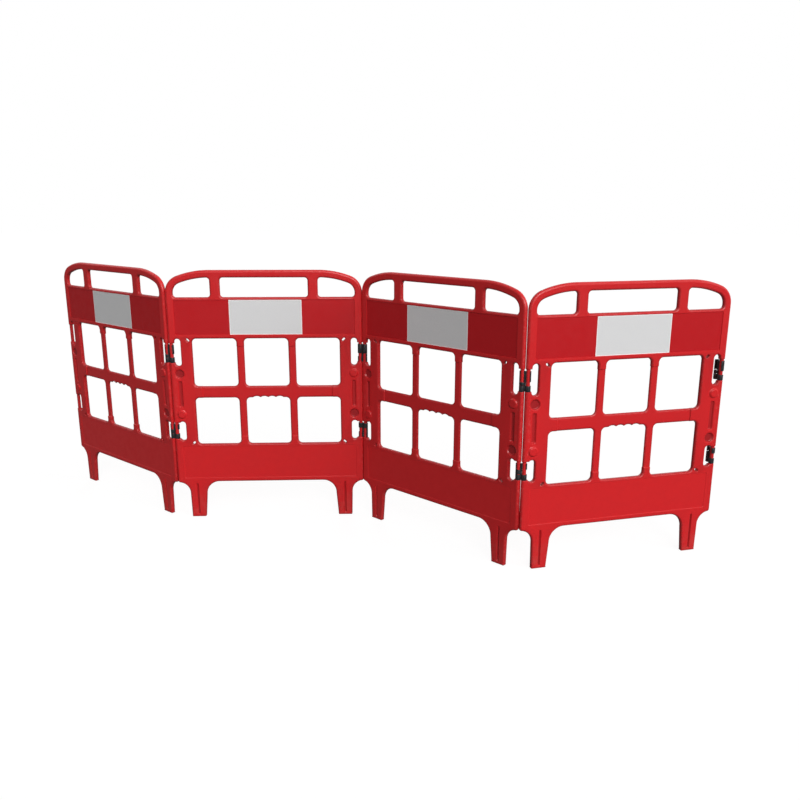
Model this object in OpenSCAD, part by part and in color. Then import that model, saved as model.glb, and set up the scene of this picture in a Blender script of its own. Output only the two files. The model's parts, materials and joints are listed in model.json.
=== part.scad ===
// Folding set of four road-work barrier gates joined by clip-on swivel hinges.
// Millimetres, +Z up, ground at z = 0, gate fronts towards -Y, origin at the middle of the footprint.
// A gate is drawn in its own frame first: x across from its middle, y through it, z up from the ground.

/* [Gate] */
// Overall width of one gate
gate_w = 755; // [720:1:800]
// Overall height of one gate
gate_h = 1005; // [960:1:1080]
// Thickness of the moulded plate
plate_t = 18; // [15:0.5:22]
// How far the round rim stands proud of each face
rim_proud = 0.5; // [0.3:0.1:1.5]
// Face width of the rim, from the outer edge to the openings and recesses
rim_w = 29; // [21:0.5:33]

/* [Top rail] */
// Outside radius of the upper corners
corner_r = 68; // [45:1:90]
// Outside radius of the long shallow curves beside the straight rail
crown_r = 350; // [250:1:450]
// Angle that each shallow curve turns through
crown_angle = 21; // [10:1:25]
// Width of the middle handle opening
handle_w = 336; // [250:1:380]
// Height of the three handle openings
handle_h = 75; // [60:1:90]
// Width of the posts between the handle openings
post_w = 39; // [25:1:50]
// Corner radius of the handle openings
handle_r = 12; // [5:1:20]

/* [Reflective band] */
// Height of the solid sill over the band
sill_h = 9; // [5:1:20]
// Height of the recessed band
band_h = 137; // [100:1:160]
// Height of the solid strip under the band
strip_h = 15; // [5:1:20]
// Depth of the band's recess on each face
band_recess = 2.5; // [1:0.5:4]
// Width of the white sheet
white_w = 280; // [180:1:360]
// How far the white sheet of each gate sits to the right of the band's middle
white_shift = [0, 3, 2, 9]; // [-20:1:20]
// Thickness of the sheets
sheet_t = 0.5; // [0.3:0.1:1]
// Margin round each sheet
sheet_gap = 1; // [0.5:0.1:3]

/* [Windows] */
// Width of one window
window_w = 172; // [150:0.5:185]
// Height of one window
window_h = 190.5; // [170:0.5:205]
// Corner radius of the windows
window_r = 16; // [8:1:30]
// Width of the upright bars
bar_w = 29.3; // [18:0.1:34]
// Height of the rail between the two rows of windows
mid_rail_h = 47.5; // [30:0.5:60]
// How far the stepped-down bars start inside the edge of the window grid
bar_step_in = 29.5; // [20:0.5:50]
// Depth of that step on each face
bar_step = 2; // [0.5:0.5:4]
// Number of finger scallops over the lower middle window
scallop_n = 4; // [2:1:5]
// Pitch of the finger scallops
scallop_pitch = 30.3; // [22:0.1:32]
// Rise of the finger scallops into the middle rail
scallop_rise = 5; // [2:0.5:9]

/* [Lower board and legs] */
// Height of the lower board
board_h = 160.5; // [130:0.5:180]
// Depth of the board's shallow recess on each face
board_recess = 1.2; // [0.5:0.1:3]
// Border left over the board's recess
board_top_border = 8; // [5:1:15]
// Border left under the board's recess
board_low_border = 16; // [8:1:25]
// Distance from the gate's edge to the middle of a foot
foot_in = 77; // [65:1:100]
// Width of a foot on the ground
foot_w = 57; // [40:1:70]
// How much a leg widens towards the gate's middle
leg_flare_in = 8; // [0:1:12]
// How much a leg widens towards the gate's edge
leg_flare_out = 2; // [0:1:6]
// Radius of the fillet between the legs and the board's underside
leg_inner_r = 54; // [35:1:70]
// Radius of the fillet between a leg and the gate's edge
leg_outer_r = 45; // [36:1:55]
// Width of the groove down each leg
leg_groove_w = 10; // [6:1:16]
// Depth of the grooves in the legs and the side columns
groove_depth = 5.5; // [1:0.5:7]
// Height of the solid end of a leg under its groove
leg_end_h = 10; // [6:1:20]
// Distance from the top of that groove up to the board
leg_groove_stop = 5; // [0:1:15]
// Depth of the rim's lower ends under the board's lower edge
edge_drop = 3; // [0:0.5:6]
// Height of the tapered lower ends of the rim
rim_end_h = 6; // [3:0.5:12]
// Diameter of the rim at those ends
rim_end_d = 9.5; // [6:0.5:14]

/* [Side columns] */
// Width of the solid edge outside a hinge slot
edge_w = 21.5; // [20.5:0.5:24]
// Width of the hinge slots
slot_w = 24.4; // [23:0.1:28]
// Height of the upper hinge slot
upper_slot_h = 108; // [104:1:125]
// Height of the lower hinge slot
lower_slot_h = 78; // [74:1:90]
// Height of the lower slot's end over the lower edge of the windows
lower_slot_up = 15.5; // [10:0.5:30]
// Distance from the gate's edge to the line of nesting bosses
boss_in = 35.5; // [33:0.5:40]
// Diameter of the nesting bosses
boss_d = 36; // [28:1:40]
// Diameter of the flat top of the nesting bosses
boss_top_d = 25; // [16:1:28]
// How far the bosses stand out
boss_h = 4.5; // [2:0.5:5.5]
// Height from the lower boss to the upper one
boss_pitch = 165; // [150:1:175]
// Clearance round a boss that nests in its recess
nest_gap = 1.5; // [1:0.1:2.5]
// Clearance in front of a boss that nests in its recess
nest_depth = 3; // [0.5:0.1:4]
// Length of the groove between the bosses
column_groove_h = 106; // [80:1:112]
// Width of that groove
column_groove_w = 17; // [10:1:22]
// Distance from the edge of the window grid out to the middle of a lashing hole
tie_out = 15.5; // [9:0.5:18]
// Distance from the end of the window grid in to the middle of a lashing hole
tie_in = 5; // [0:0.5:20]
// Length of the lashing holes
tie_l = 15; // [10:0.5:18]
// Width of the lashing holes
tie_w = 8; // [5:0.5:10]
// Slant of the lashing holes
tie_angle = 45; // [20:1:70]

/* [Hinge clips] */
// Diameter of the necks that the clips turn on
neck_d = 14; // [11:0.5:15]
// Running clearance on the radius between a neck and its clip
clip_fit = 0.08; // [0.03:0.01:0.1]
// Wall of the claws
claw_wall = 2.6; // [2:0.1:2.8]
// Height of the long claws, at the top of the upper clips
long_claw_h = 36; // [28:1:40]
// Height of the short claws
short_claw_h = 20; // [14:1:22]
// Height of the waist between the claws of an upper clip
upper_waist_h = 14; // [12:1:20]
// Height of the waist between the claws of a lower clip
lower_waist_h = 19; // [14:1:20]
// Gap above and below the single claw at the waist
waist_gap = 1.5; // [0.5:0.5:3]
// Angle of the mouth that a claw snaps on through
mouth_angle = 96; // [80:1:120]
// Width of the web that joins the two sides of a clip
web_w = 5; // [4:0.1:5.5]
// Depth of that web, through the clip
web_d = 9; // [6:0.5:10]
// Height of an upper neck's foot over the bottom of its slot
upper_neck_up = 14; // [12.5:0.5:22]
// Height of a lower neck's foot over the bottom of its slot
lower_neck_up = 8; // [5:0.5:12]
// Clearance under a clip that sits on a neck's foot
seat_gap = 0.3; // [0.2:0.1:0.6]
// Spare height of a neck over its clip
neck_play = 6; // [2:0.5:7]

/* [Layout] */
// Gap left between the rims of two gates that are folded flat
fold_gap = 0.8; // [0.6:0.1:4]
// Heading of the first gate, from +X towards +Y
heading_1 = -39.5; // [-60:0.1:60]
// Turn from the first gate to the second
turn_1 = 42; // [-90:0.1:90]
// Turn from the second gate to the third
turn_2 = -44.8; // [-90:0.1:90]
// Turn from the third gate to the fourth
turn_3 = 56.7; // [-90:0.1:90]
// Angle of the upper spare clip, from straight out of the gate towards its back
upper_spare_angle = 96; // [60:1:120]
// Angle of the lower spare clip, from straight out of the gate towards its back
lower_spare_angle = 84; // [60:1:120]

/* [Hidden] */
$fn = 64;
eps = 1;
GATES = [1, 2, 3, 4];
JOINTS = [1, 2, 3];
FACES = ["front", "rear"];
LEVELS = ["upper", "lower"];

// Heights, from the ground up
leg_h = gate_h - rim_w - handle_h - sill_h - band_h - strip_h - 2 * window_h - mid_rail_h - board_h;
low_row_z = leg_h + board_h;
mid_rail_z = low_row_z + window_h;
top_row_z = mid_rail_z + mid_rail_h;
strip_z = top_row_z + window_h;
band_z = strip_z + strip_h;
sill_z = band_z + band_h;
handle_z = sill_z + sill_h;
rail_z = handle_z + handle_h;

// Rim and top curves, on the rim's centre line
rim_r = plate_t / 2 + rim_proud;
axis_x = gate_w / 2 - rim_r;
axis_z = gate_h - rim_r;
corner_axis_r = corner_r - rim_r;
crown_axis_r = crown_r - rim_r;
crown_run = crown_axis_r - corner_axis_r;
crown_c = [axis_x - corner_axis_r - crown_run * sin(crown_angle), axis_z - crown_axis_r];
corner_c = crown_c + crown_run * [sin(crown_angle), cos(crown_angle)];
rim_inset = rim_w - rim_r;
joint_proud = 0.05;
inner_x = gate_w / 2 - rim_w;

// Windows and their stepped bars
window_pitch = window_w + bar_w;
grid_x = window_pitch + window_w / 2;
step_x = grid_x - bar_step_in;
scallop_r = (pow(scallop_pitch / 2, 2) + pow(scallop_rise, 2)) / (2 * scallop_rise);

// Legs
foot_x = gate_w / 2 - foot_in;
foot_inner = foot_x - foot_w / 2;
foot_outer = foot_x + foot_w / 2;
leg_inner = foot_inner - leg_flare_in;
leg_outer = foot_outer + leg_flare_out;

// Slots, necks and nesting bosses
slot_outer = gate_w / 2 - edge_w;
slot_x = slot_outer - slot_w / 2;
upper_slot_z = strip_z - upper_slot_h;
lower_slot_z = low_row_z + lower_slot_up;
upper_clip_h = long_claw_h + upper_waist_h + short_claw_h;
lower_clip_h = 2 * short_claw_h + lower_waist_h;
upper_clip_z = upper_slot_z + upper_neck_up;
lower_clip_z = lower_slot_z + lower_neck_up;
boss_x = gate_w / 2 - boss_in;
column_z = (lower_slot_z + lower_slot_h + upper_slot_z) / 2;
fold_room = 2 * rim_proud + fold_gap;
recess_depth = max(boss_h - fold_room, 0) + nest_depth;
tie_x = grid_x + tie_out;

// Clips
claw_bore = neck_d / 2 + clip_fit;
claw_r = claw_bore + claw_wall;
link = 2 * rim_r + fold_gap;

// Plan of the set: headings, then the neck lines in turn, moved so that the footprint's middle is the origin
headings = [heading_1, heading_1 + turn_1, heading_1 + turn_1 + turn_2, heading_1 + turn_1 + turn_2 + turn_3];
link_headings = [for (j = JOINTS) (headings[j - 1] + headings[j]) / 2];
function along(angle, length) = length * [cos(angle), sin(angle)];
function raw_left(i) = i == 1 ? [0, 0] : raw_right(i - 1) + along(link_headings[i - 2], link);
function raw_right(i) = raw_left(i) + along(headings[i - 1], 2 * axis_x);
raw_ends = [for (i = GATES) each [raw_left(i), raw_right(i)]];
ends_x = [for (p = raw_ends) p.x];
ends_y = [for (p = raw_ends) p.y];
middle = [min(ends_x) + max(ends_x), min(ends_y) + max(ends_y)] / 2;
function left_neck(i) = raw_left(i) - middle;
function right_neck(i) = raw_right(i) - middle;
function gate_middle(i) = (left_neck(i) + right_neck(i)) / 2;

PANELS = [for (i = GATES) str("gate_panel_", i)];
WHITES = [for (i = GATES) for (f = FACES) str(f, "_white_sheet_", i)];
REDS = [for (i = GATES) for (f = FACES) str(f, "_red_sheets_", i)];
CLIPS = [for (j = JOINTS) for (l = LEVELS) str(l, "_hinge_clip_", j)];
SPARES = [for (l = LEVELS) str(l, "_end_clip")];

// Both halves of something drawn on the right of a gate
module both_sides() {
  children();
  mirror([1, 0, 0]) children();
}

// Both faces of something drawn on the front of a gate, turned about its upright middle line
module both_faces() {
  children();
  rotate([0, 0, 180]) children();
}

// Stands a flat outline up as a plate of thickness t, centred through the gate
module upright(t) {
  rotate([90, 0, 0])
    linear_extrude(height = t, center = true)
      children();
}

// A block sunk into the front face from x0, z0 to x1, z1
module front_pocket(x0, z0, x1, z1, depth) {
  translate([x0, -plate_t / 2 - eps, z0])
    cube([x1 - x0, depth + eps, z1 - z0]);
}

// A rectangle with round corners, from its lower left corner
module round_rect(w, h, r) {
  translate([r, 0])
    square([w - 2 * r, h]);
  translate([0, r])
    square([w, h - 2 * r]);
  for (x = [r, w - r])
    for (y = [r, h - r])
      translate([x, y])
        circle(r);
}

// A slot with round ends, centred, with its length along x
module obround(l, w) {
  square([l - w, w], center = true);
  for (side = [-1, 1])
    translate([side * (l - w) / 2, 0])
      circle(d = w);
}

// What a round corner leaves in a square corner at the origin
module corner_fill(r) {
  difference() {
    square(r);
    translate([r, r])
      circle(r);
  }
}

module sector(r, from, to) {
  intersection() {
    circle(r);
    polygon([[0, 0], 2 * r * [cos(from), sin(from)], 2 * r * [cos(to), sin(to)]]);
  }
}

// Right half of the gate over its legs, to the rim's centre line less an inset
module half_arch(inset) {
  translate(crown_c)
    sector(crown_axis_r - inset, 90 - crown_angle, 90 + crown_angle);
  translate(corner_c)
    circle(corner_axis_r - inset);
  translate([-eps, leg_h])
    square([axis_x - inset + eps, corner_c.y - leg_h]);
  translate([-eps, leg_h])
    square([crown_c.x + eps, axis_z - inset - leg_h]);
}

// Right leg with its fillets under the board
module leg_outline() {
  inner_z = leg_h - leg_inner_r;
  outer_z = leg_h - edge_drop - leg_outer_r;
  polygon([
    [foot_inner, 0],
    [foot_outer, 0],
    [leg_outer, outer_z],
    [leg_outer, leg_h + eps],
    [leg_inner, leg_h + eps],
    [leg_inner, inner_z]
  ]);
  difference() {
    translate([leg_inner - leg_inner_r, inner_z])
      square([leg_inner_r + eps, leg_inner_r + eps]);
    translate([leg_inner - leg_inner_r, inner_z])
      circle(leg_inner_r);
  }
  difference() {
    translate([leg_outer - eps, outer_z])
      square([axis_x - leg_outer + eps, leg_h + eps - outer_z]);
    translate([leg_outer + leg_outer_r, outer_z])
      circle(leg_outer_r);
  }
}

// Side handle opening under the curved rail
module side_handle() {
  post_x = handle_w / 2 + post_w;
  difference() {
    intersection() {
      half_arch(rim_inset);
      translate([post_x, handle_z])
        square([axis_x, gate_h]);
    }
    translate([post_x, handle_z])
      corner_fill(handle_r);
    translate([post_x, rail_z])
      mirror([0, 1])
        corner_fill(handle_r);
    translate([inner_x, handle_z])
      mirror([1, 0])
        corner_fill(handle_r);
  }
}

module windows() {
  for (column = [-1, 0, 1])
    for (z = [low_row_z, top_row_z])
      translate([column * window_pitch - window_w / 2, z])
        round_rect(window_w, window_h, window_r);
}

// Finger grip over the lower middle window
module scallops() {
  for (i = [0 : scallop_n - 1])
    translate([(i - (scallop_n - 1) / 2) * scallop_pitch, mid_rail_z + scallop_rise - scallop_r])
      circle(scallop_r);
}

// Hinge slots in the right column
module slots() {
  translate([slot_x, upper_slot_z + upper_slot_h / 2])
    rotate(90) obround(upper_slot_h, slot_w);
  translate([slot_x, lower_slot_z + lower_slot_h / 2])
    rotate(90) obround(lower_slot_h, slot_w);
}

// Slanting lashing holes beside the outer corners of the window grid
module tie_holes() {
  for (end = [[strip_z - tie_in, tie_angle], [low_row_z + tie_in, -tie_angle]])
    translate([tie_x, end[0]])
      rotate(end[1])
        obround(tie_l, tie_w);
}

module plate_outline() {
  difference() {
    union() {
      both_sides() half_arch(0);
      both_sides() leg_outline();
    }
    translate([-handle_w / 2, handle_z])
      round_rect(handle_w, handle_h, handle_r);
    both_sides() side_handle();
    windows();
    scallops();
    both_sides() slots();
    both_sides() tie_holes();
  }
}

// A ball a shade larger than the rim, which closes the joints between its bends
module rim_joint(at) {
  translate([at.x, 0, at.y])
    sphere(r = rim_r + joint_proud);
}

// Right half of the round rim
module half_rim() {
  rim_z = leg_h - edge_drop + rim_end_h;
  translate([axis_x, 0, rim_z])
    cylinder(r = rim_r, h = corner_c.y - rim_z);
  translate([axis_x, 0, rim_z - rim_end_h])
    cylinder(d1 = rim_end_d, r2 = rim_r, h = rim_end_h);
  translate([corner_c.x, 0, corner_c.y])
    rotate([90, 0, 0])
      rotate_extrude(angle = 90 - crown_angle)
        translate([corner_axis_r, 0])
          circle(rim_r);
  translate([crown_c.x, 0, crown_c.y])
    rotate([90, 0, 0])
      rotate_extrude(angle = crown_angle, start = 90 - crown_angle)
        translate([crown_axis_r, 0])
          circle(rim_r);
  rim_joint([axis_x, corner_c.y]);
  rim_joint(corner_c + corner_axis_r * [sin(crown_angle), cos(crown_angle)]);
  rim_joint([crown_c.x, axis_z]);
}

module rim() {
  both_sides() half_rim();
  translate([-crown_c.x, 0, axis_z])
    rotate([0, 90, 0])
      cylinder(r = rim_r, h = 2 * crown_c.x);
}

// Opens the right edge round one neck
module neck_room(clip_z, clip_h) {
  translate([slot_x, -plate_t, clip_z - seat_gap])
    cube([gate_w / 2 - slot_x + eps, 2 * plate_t, seat_gap + clip_h + neck_play]);
}

module neck(clip_z, clip_h) {
  translate([axis_x, 0, clip_z - seat_gap - eps])
    cylinder(d = neck_d, h = seat_gap + clip_h + neck_play + 2 * eps);
}

// Recesses and grooves on the front face
module front_recesses() {
  groove_z = column_z - column_groove_h / 2;
  front_pocket(-inner_x, band_z, inner_x, sill_z, band_recess);
  front_pocket(-step_x, low_row_z + bar_step_in, step_x, strip_z - bar_step_in, bar_step);
  front_pocket(-inner_x, leg_h + board_low_border, inner_x, low_row_z - board_top_border, board_recess);
  for (side = [-1, 1]) {
    x = side * boss_x;
    translate([x, -plate_t / 2 - eps, column_z - side * boss_pitch / 2])
      rotate([-90, 0, 0])
        cylinder(d1 = boss_d + 2 * nest_gap, d2 = boss_top_d + 2 * nest_gap, h = recess_depth + eps);
    front_pocket(
      x - column_groove_w / 2, groove_z, x + column_groove_w / 2, groove_z + column_groove_h, groove_depth
    );
    foot = side * foot_x;
    front_pocket(
      foot - leg_groove_w / 2, leg_end_h, foot + leg_groove_w / 2, leg_h - leg_groove_stop, groove_depth
    );
  }
}

// Bosses on the front face, each opposite the recess of the gate that folds against it
module front_bosses() {
  for (side = [-1, 1])
    translate([side * boss_x, -plate_t / 2 - boss_h, column_z + side * boss_pitch / 2])
      rotate([-90, 0, 0])
        cylinder(d1 = boss_top_d, d2 = boss_d, h = boss_h + eps);
}

module at_gate(i) {
  translate([gate_middle(i).x, gate_middle(i).y, 0])
    rotate([0, 0, headings[i - 1]])
      children();
}

// One blow-moulded gate
module gate_panel(i) {
  color("#c8282a")
    at_gate(i) {
      difference() {
        union() {
          upright(plate_t) plate_outline();
          rim();
        }
        both_sides() neck_room(upper_clip_z, upper_clip_h);
        both_sides() neck_room(lower_clip_z, lower_clip_h);
        both_faces() front_recesses();
      }
      both_faces() front_bosses();
      both_sides() neck(upper_clip_z, upper_clip_h);
      both_sides() neck(lower_clip_z, lower_clip_h);
    }
}

// A flat sheet on the floor of the front band, from x0 to x1
module band_sheet(x0, x1) {
  translate([x0, -plate_t / 2 + band_recess - sheet_t, band_z + sheet_gap])
    cube([x1 - x0, sheet_t, band_h - 2 * sheet_gap]);
}

module on_face(face) {
  rotate([0, 0, face == "front" ? 0 : 180]) children();
}

// White retroreflective sheet
module white_sheet(i, face) {
  color("#dcdcdc")
    at_gate(i)
      on_face(face)
        band_sheet(white_shift[i - 1] - white_w / 2, white_shift[i - 1] + white_w / 2);
}

// Red retroreflective sheets on each side of the white one
module red_sheets(i, face) {
  color("#b4232c")
    at_gate(i)
      on_face(face) {
        band_sheet(-inner_x + sheet_gap, white_shift[i - 1] - white_w / 2 - sheet_gap);
        band_sheet(white_shift[i - 1] + white_w / 2 + sheet_gap, inner_x - sheet_gap);
      }
}

// One claw round its own axis before it is bored, with its mouth towards the given angle
module claw(h, mouth) {
  rotate([0, 0, mouth])
    rotate_extrude(angle = 360 - mouth_angle, start = mouth_angle / 2)
      square([claw_r, h]);
}

// Clip between two necks a link apart: claws above and below face opposite ways, and a single
// claw at the waist holds the left neck
module clip(top_h, waist_h) {
  front = -90;
  back = 90;
  clip_h = top_h + waist_h + short_claw_h;
  difference() {
    union() {
      for (side = [-1, 1])
        translate([side * link / 2, 0, 0]) {
          claw(short_claw_h, back);
          translate([0, 0, short_claw_h + waist_h])
            claw(top_h, front);
        }
      translate([-link / 2, 0, short_claw_h + waist_gap])
        claw(waist_h - 2 * waist_gap, back);
      translate([-web_w / 2, -web_d / 2, 0])
        cube([web_w, web_d, clip_h]);
    }
    for (side = [-1, 1])
      translate([side * link / 2, 0, -eps])
        cylinder(r = claw_bore, h = clip_h + 2 * eps);
  }
}

module clip_at(level) {
  if (level == "upper")
    translate([0, 0, upper_clip_z]) clip(long_claw_h, upper_waist_h);
  else
    translate([0, 0, lower_clip_z]) clip(short_claw_h, lower_waist_h);
}

// Clip between gates j and j + 1, which the middle joint wears the other way round
module hinge_clip(level, j) {
  spot = (right_neck(j) + left_neck(j + 1)) / 2;
  color("#1c1c1e")
    translate([spot.x, spot.y, 0])
      rotate([0, 0, link_headings[j - 1] + (j == 2 ? 180 : 0)])
        clip_at(level);
}

// Clip on the free edge of the last gate, with its other side swung back
module end_clip(level) {
  swing = headings[3] + (level == "upper" ? upper_spare_angle : lower_spare_angle);
  spot = right_neck(4) + along(swing, link / 2);
  color("#1c1c1e")
    translate([spot.x, spot.y, 0])
      rotate([0, 0, swing + 180])
        clip_at(level);
}

for (i = GATES) {
  gate_panel(i);
  for (f = FACES) {
    white_sheet(i, f);
    red_sheets(i, f);
  }
}
for (l = LEVELS) {
  for (j = JOINTS) {
    hinge_clip(l, j);
  }
  end_clip(l);
}
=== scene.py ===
import json
import math

import bpy
import numpy as np
from mathutils import Matrix, Vector
from mathutils.geometry import delaunay_2d_cdt


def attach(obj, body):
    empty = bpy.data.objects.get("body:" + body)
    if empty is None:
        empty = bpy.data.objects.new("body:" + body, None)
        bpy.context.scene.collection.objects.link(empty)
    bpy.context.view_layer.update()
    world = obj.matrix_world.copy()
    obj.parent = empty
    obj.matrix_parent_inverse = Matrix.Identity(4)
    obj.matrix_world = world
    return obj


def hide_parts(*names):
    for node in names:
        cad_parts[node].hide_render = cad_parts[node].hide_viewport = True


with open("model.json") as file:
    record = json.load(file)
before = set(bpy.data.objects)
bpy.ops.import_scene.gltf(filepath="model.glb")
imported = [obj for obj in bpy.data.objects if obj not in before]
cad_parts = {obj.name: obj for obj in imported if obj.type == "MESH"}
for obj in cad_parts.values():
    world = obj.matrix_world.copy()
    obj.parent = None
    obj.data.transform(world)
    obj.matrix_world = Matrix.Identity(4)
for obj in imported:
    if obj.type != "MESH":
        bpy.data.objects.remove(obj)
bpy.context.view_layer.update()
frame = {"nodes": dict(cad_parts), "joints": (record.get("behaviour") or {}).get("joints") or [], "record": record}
nodes = frame["nodes"]
mm = 0.001


# where the gates stand: the neck lines come from the frame's joints and its free neck
def neckSpots():
    joints = {joint["name"]: joint["pos_m"] for joint in frame["joints"]}
    mounts = frame["record"]["mounts"]
    freeNeck = next(mount["pos_m"] for mount in mounts if mount["name"] == "upper_free_neck")
    lefts = [freeNeck] + [joints[f"hinge_{n}_right"] for n in (1, 2, 3)]
    rights = [joints[f"hinge_{n}_left"] for n in (1, 2, 3)] + [joints["upper_end_clip_turn"]]
    return [(Vector(left[:2]), Vector(right[:2])) for left, right in zip(lefts, rights)]


def gatePlace(left, right):
    middle = (left + right) / 2
    across = right - left
    turn = Matrix.Rotation(math.atan2(across.y, across.x), 4, "Z")
    return Matrix.Translation((middle.x, middle.y, 0)) @ turn


necks = neckSpots()
places = [gatePlace(left, right) for left, right in necks]
neckAxis = (necks[0][1] - necks[0][0]).length / 2 / mm
print(f"gates placed, necks {neckAxis:.1f} mm from the middle")

# one gate, in millimetres and degrees: x from its middle, z from the ground
gateShape = {
    "height": 1005.0,
    "plateHalf": 9.0,          # half the plate's thickness
    "rimRadius": 9.5,
    "rimFace": 29.0,           # outer edge to the openings
    "cornerRadius": 68.0,
    "crownRadius": 350.0,
    "crownAngle": 21.0,        # sweep of the crown from the flat rail to a corner
    "handleLow": 901.0,
    "handleHalf": 168.0,       # half the middle handle
    "handleRound": 12.0,
    "post": 39.0,              # between the middle handle and a corner one
    "band": (755.0, 892.0),
    "windowSize": (172.0, 190.5),
    "windowRound": 16.0,
    "barWidth": 29.3,
    "rows": (311.5, 549.5),    # lower edges of the windows
    "scallops": 4,
    "scallopPitch": 30.3,
    "scallopRise": 5.0,
    "boardFoot": 151.0,        # lower edge of the board
    "footSpan": (272.0, 329.0),
    "legSpan": (264.0, 331.0),
    "innerFillet": 54.0,
    "outerFillet": 45.0,
    "filletTurn": (95, 120),   # where the outer fillet leaves the heel and where it joins the leg
    "edgeDrop": 3.0,           # the rim reaches this far below the board
    "heelRound": 8.0,          # the rim's lower ends
    "heelTurn": 72,
    "heelTaper": 14.0,         # the rim grows to its full radius over this height
    "toeRound": 4.0,           # corners of the feet
    "slotX": 343.8,
    "slotHalf": 12.2,
    "slots": ((632.0, 740.0), (327.0, 405.0)),
    "neckRadius": 7.0,
    "neckZones": ((645.7, 722.0), (334.7, 400.0)),
    "shoulder": 0.4,           # height of the step from the rim to a neck
    "tieX": 302.8,
    "tieZ": (735.0, 316.5),
    "tieTilt": (45, -45),
    "tieSize": (15.0, 8.0),
}

# relief of a face: spans in x and z, depth, width of the sloping border, corner radius
reliefShape = {
    "band": ((-348.5, 348.5), gateShape["band"], 2.5, 0.9, 3.0),
    "bars": ((-257.8, 257.8), (341.0, 710.5), 3.4, 3.0, 6.0),
    "board": ((-348.5, 348.5), (167.0, 303.5), 1.2, 1.8, 6.0),
    "leg": ((295.0, 306.0), (9.0, 146.5), 5.5, 4.6, 5.0),
    "column": ((332.5, 351.5), (464.5, 572.5), 5.5, 5.4, 6.0),
}
pairedRelief = ("leg", "column")       # these are on both sides of the gate
# a boss and a recess on each side, which nest in each other when gates are stacked
bossShape = {"x": 342.0, "z": 518.5, "pitch": 165.0, "radius": 18.0, "height": 4.5, "slope": 6.4,
             "recessRadius": 19.5, "recessDepth": 5.7, "lip": 0.8}
# width of the rounding along each kind of edge, and how deep it goes at most
edgeRound = {"opening": 8.0, "slot": 5.0, "tie": 3.0, "heel": 9.0, "leg": 7.0, "toe": 3.0, "shoulder": 3.0}
edgeDepth = 6.5
# painted shade along the edges, and in what is sunk deeper than grooveDepth
paintedShadeLook = {"edgeReach": 6.0, "grooveDepth": 4.0, "grooveShare": 0.7}
# rubbing: its place across a rounding or the rim's radius, and its spread
gateWear = {"edge": (0.25, 0.4), "rim": (0.7, 0.3), "rimEnd": 1.05}

# how finely the shell is meshed
meshDetail = {
    "chord": 2.8,
    "slotChord": 2.0,
    "tieChord": 1.4,
    "bossChord": 3.0,
    "fewestSteps": 4,          # along any arc
    "edgeSteps": 6,
    "shoulderSteps": 4,
    "slopeShares": (0, 0.25, 0.5, 0.75, 1),
    "leastRound": 0.3,
    "rimAngles": (20, 38, 56, 73, 90),
    "rimPast": (1.6, 3.04),    # two more lines on the plate beside the rim
    "neckStep": 15,
    "pinch": 0.05,             # where it is thinner than this, the two faces meet
    "sharpest": 0.35,          # keeps a moved line's corners from running away
    "batch": 2000,             # points worked on at a time
}
sameSpot = 1e-4                # points closer than this are one
onEdge = 2e-3                  # and this close to an edge they lie on it
tiny = 1e-9                    # keeps divisions clear of zero


def arcPoints(centre, radius, start, end, chord=meshDetail["chord"]):
    steps = math.ceil(abs(math.radians(end - start)) * radius / chord)
    angles = np.radians(np.linspace(start, end, max(meshDetail["fewestSteps"], steps) + 1))
    return np.column_stack([centre[0] + radius * np.cos(angles), centre[1] + radius * np.sin(angles)])


def roundBox(x0, z0, x1, z1, radius):
    corners = [(x1 - radius, z0 + radius, -90), (x1 - radius, z1 - radius, 0),
               (x0 + radius, z1 - radius, 90), (x0 + radius, z0 + radius, 180)]
    return np.vstack([arcPoints((x, z), radius, start, start + 90) for x, z, start in corners])


# an open line of two points
def straight(x0, z0, x1, z1):
    return np.array([[x0, z0], [x1, z1]]), False


def flipped(points):
    return (points * [-1, 1])[::-1]


def bothSides(lines):
    return lines + [flipped(line) for line in lines]


# leaves out points that repeat the one before
def tidyLine(points, closed):
    steps = np.linalg.norm(points - np.roll(points, 1, axis=0), axis=1)
    keep = steps > sameSpot
    if not closed:
        keep[0] = True
    return points[keep]


# moves a line sideways into the plate, which lies on its right
def movedLine(points, distance, closed):
    along = np.roll(points, -1, axis=0) - points
    along /= np.maximum(np.linalg.norm(along, axis=1), tiny)[:, None]
    right = np.column_stack([along[:, 1], -along[:, 0]])
    before = np.roll(right, 1, axis=0)
    if not closed:
        right[-1] = right[-2]
        before[0] = right[0]
    turn = 1 + np.sum(right * before, axis=1)
    return points + distance * (right + before) / np.maximum(turn, meshDetail["sharpest"])[:, None]


# steps across a quarter round, closest together at its edge
def roundShares(count):
    return 1 - np.cos(np.linspace(0, math.pi / 2, count + 1))[1:]


# the arch that all the rim lines follow: flat rail, crown, corner and side
rimAxis = gateShape["rimRadius"]
gateTop = gateShape["height"]
edgeX = neckAxis + rimAxis
rimFoot = gateShape["boardFoot"] - gateShape["edgeDrop"]
heelZ = rimFoot + gateShape["heelRound"]
crownRun = gateShape["crownRadius"] - gateShape["cornerRadius"]
crownTurn = math.radians(gateShape["crownAngle"])
crownBend = 90 - gateShape["crownAngle"]
crownX = edgeX - gateShape["cornerRadius"] - crownRun * math.sin(crownTurn)
crownC = np.array([crownX, gateTop - gateShape["crownRadius"]])
cornerC = crownC + crownRun * np.array([math.sin(crownTurn), math.cos(crownTurn)])


# runs from the left side over the top to the right side
def archLine(inset, low):
    right = np.vstack([
        [[crownC[0], gateTop - inset]],
        arcPoints(crownC, gateShape["crownRadius"] - inset, 90, crownBend),
        arcPoints(cornerC, gateShape["cornerRadius"] - inset, crownBend, 0),
        [[edgeX - inset, low]],
    ])
    return tidyLine(np.vstack([flipped(right), right]), False)


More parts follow.
